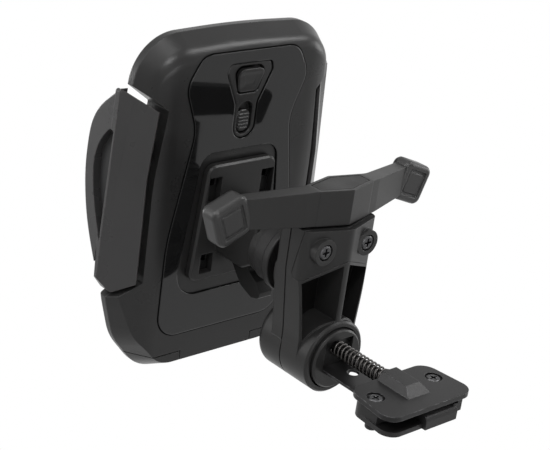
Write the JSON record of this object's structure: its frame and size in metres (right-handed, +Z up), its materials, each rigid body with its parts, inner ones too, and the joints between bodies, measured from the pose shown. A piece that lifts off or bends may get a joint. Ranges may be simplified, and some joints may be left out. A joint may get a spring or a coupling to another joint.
{
  "type": "phone cradle with ball joint and slat clamp",
  "caption": "Gripper phone cradle with sliding jaws, ball joint, bracing wing bar and spring-tensioned slat clip.",
  "frame": {"origin": "middle of the clip's mouth on the plane of symmetry of the cradle", "axes": "+Z up, +Y along the pull rod from the phone toward the grille, +X to the left of a viewer behind the clip"},
  "size_m": [0.0822, 0.1076, 0.1057],
  "materials": {
    "satin_black": "fine satin moulding",
    "gloss_black": "polished piano gloss",
    "soft_rubber": "matte elastomer",
    "glazed_jaw": "semi-gloss moulding with light edges",
    "inner_plastic": "plain acetal",
    "dark_steel": "black oxide",
    "spring_steel": "dark wound wire",
    "screw_steel": "black zinc",
    "nut_brass": "turned"
  },
  "bodies": {
    "clip": {"clip_plate": "dark_steel", "clip_body": "satin_black", "clip_hook": "satin_black", "clip_screws": "screw_steel", "clip_nub": "satin_black", "pull_rod": "dark_steel", "rod_pin": "dark_steel", "tension_spring": "spring_steel"},
    "hub": {"hub_disc": "satin_black", "guide_rail": "dark_steel"},
    "arm": {"arm_body": "satin_black", "arm_cover": "satin_black", "cover_screws": "screw_steel", "wing_bar": "satin_black", "wing_cap": "gloss_black", "left_wing_pad": "soft_rubber", "right_wing_pad": "soft_rubber", "ball_stud": "satin_black"},
    "knob": {"tension_knob": "satin_black", "knob_nut": "nut_brass"},
    "front_bearing": {"front_cup": "inner_plastic"},
    "rear_bearing": {"rear_cup": "inner_plastic"},
    "adapter": {"claw_plate": "satin_black"},
    "ring": {"ring_nut": "satin_black"},
    "cradle": {"rear_shell": "satin_black", "front_shell": "satin_black", "shell_screws": "screw_steel", "phone_pad": "soft_rubber", "gloss_panel": "gloss_black", "keyhole_bezel": "satin_black", "receptacle_frame": "satin_black", "pawl_pin": "dark_steel"},
    "jaw_left": {"left_jaw": "glazed_jaw", "left_pad": "soft_rubber", "left_rack": "inner_plastic"},
    "jaw_right": {"right_jaw": "glazed_jaw", "right_pad": "soft_rubber", "right_rack": "inner_plastic"},
    "gear": {"pinion": "inner_plastic", "pinion_drum": "spring_steel"},
    "button": {"release_button": "satin_black"},
    "pawl": {"release_pawl": "inner_plastic"},
    "lock": {"lock_slider": "satin_black"},
    "foot_left": {"left_foot": "satin_black"},
    "foot_right": {"right_foot": "satin_black"}
  },
  "joints": [
    {"name": "clamp_pull", "type": "slide", "parent": "clip", "child": "hub", "axis": [0, 1, 0], "range_m": [0, 0.006], "stiffness_N_per_m": 400, "deforming": ["tension_spring"]},
    {"name": "arm_swivel", "type": "hinge", "parent": "hub", "child": "arm", "pos_m": [0, -0.043, -0.0006], "axis": [0, 1, 0], "range_deg": [-90, 90]},
    {"name": "knob_turn", "type": "hinge", "parent": "arm", "child": "knob", "pos_m": [0, -0.05, -0.0006], "axis": [0, 1, 0], "range_deg": [0, 270]},
    {"name": "ball_tilt", "type": "hinge", "parent": "arm", "child": "front_bearing", "pos_m": [0, -0.0596, 0.0207], "axis": [1, 0, 0], "range_deg": [-10, 10]},
    {"name": "ball_swing", "type": "hinge", "parent": "front_bearing", "child": "rear_bearing", "pos_m": [0, -0.0596, 0.0207], "axis": [0, 0, 1], "range_deg": [-10, 10]},
    {"name": "ball_spin", "type": "hinge", "parent": "rear_bearing", "child": "adapter", "pos_m": [0, -0.0596, 0.0207], "axis": [0, 1, 0], "continuous": true},
    {"name": "ring_turn", "type": "hinge", "parent": "adapter", "child": "ring", "pos_m": [0, -0.0596, 0.0207], "axis": [0, 1, 0], "range_deg": [-60, 60]},
    {"name": "cradle_lift", "type": "slide", "parent": "adapter", "child": "cradle", "axis": [0, 0, 1], "range_m": [0, 0.003]},
    {"name": "jaw_left_slide", "type": "slide", "parent": "cradle", "child": "jaw_left", "axis": [1, 0, 0], "range_m": [-0.0006, 0.01]},
    {"name": "jaw_right_slide", "type": "slide", "parent": "cradle", "child": "jaw_right", "axis": [-1, 0, 0], "range_m": [-0.0007, 0.0101]},
    {"name": "pinion_turn", "type": "hinge", "parent": "cradle", "child": "gear", "pos_m": [0, -0.09, 0.0357], "axis": [0, 1, 0], "range_deg": [-6, 96]},
    {"name": "button_press", "type": "slide", "parent": "cradle", "child": "button", "axis": [0, -1, 0], "range_m": [0, 0.0014], "stiffness_N_per_m": 600},
    {"name": "pawl_rock", "type": "hinge", "parent": "cradle", "child": "pawl", "pos_m": [0, -0.0881, 0.0541], "axis": [1, 0, 0], "range_deg": [0, 7.7]},
    {"name": "lock_slide", "type": "slide", "parent": "cradle", "child": "lock", "axis": [0, 0, 1], "range_m": [0, 0.0022]},
    {"name": "foot_left_draw", "type": "slide", "parent": "cradle", "child": "foot_left", "axis": [0, 0, -1], "range_m": [0, 0.008]},
    {"name": "foot_right_draw", "type": "slide", "parent": "cradle", "child": "foot_right", "axis": [0, 0, -1], "range_m": [0, 0.008]}
  ],
  "couplings": [
    {"joint": "jaw_right_slide", "follows": "jaw_left_slide", "ratio": 1},
    {"joint": "pinion_turn", "follows": "jaw_left_slide", "rad_per_m": 166.67},
    {"joint": "pawl_rock", "follows": "button_press", "rad_per_m": 94.3}
  ]
}
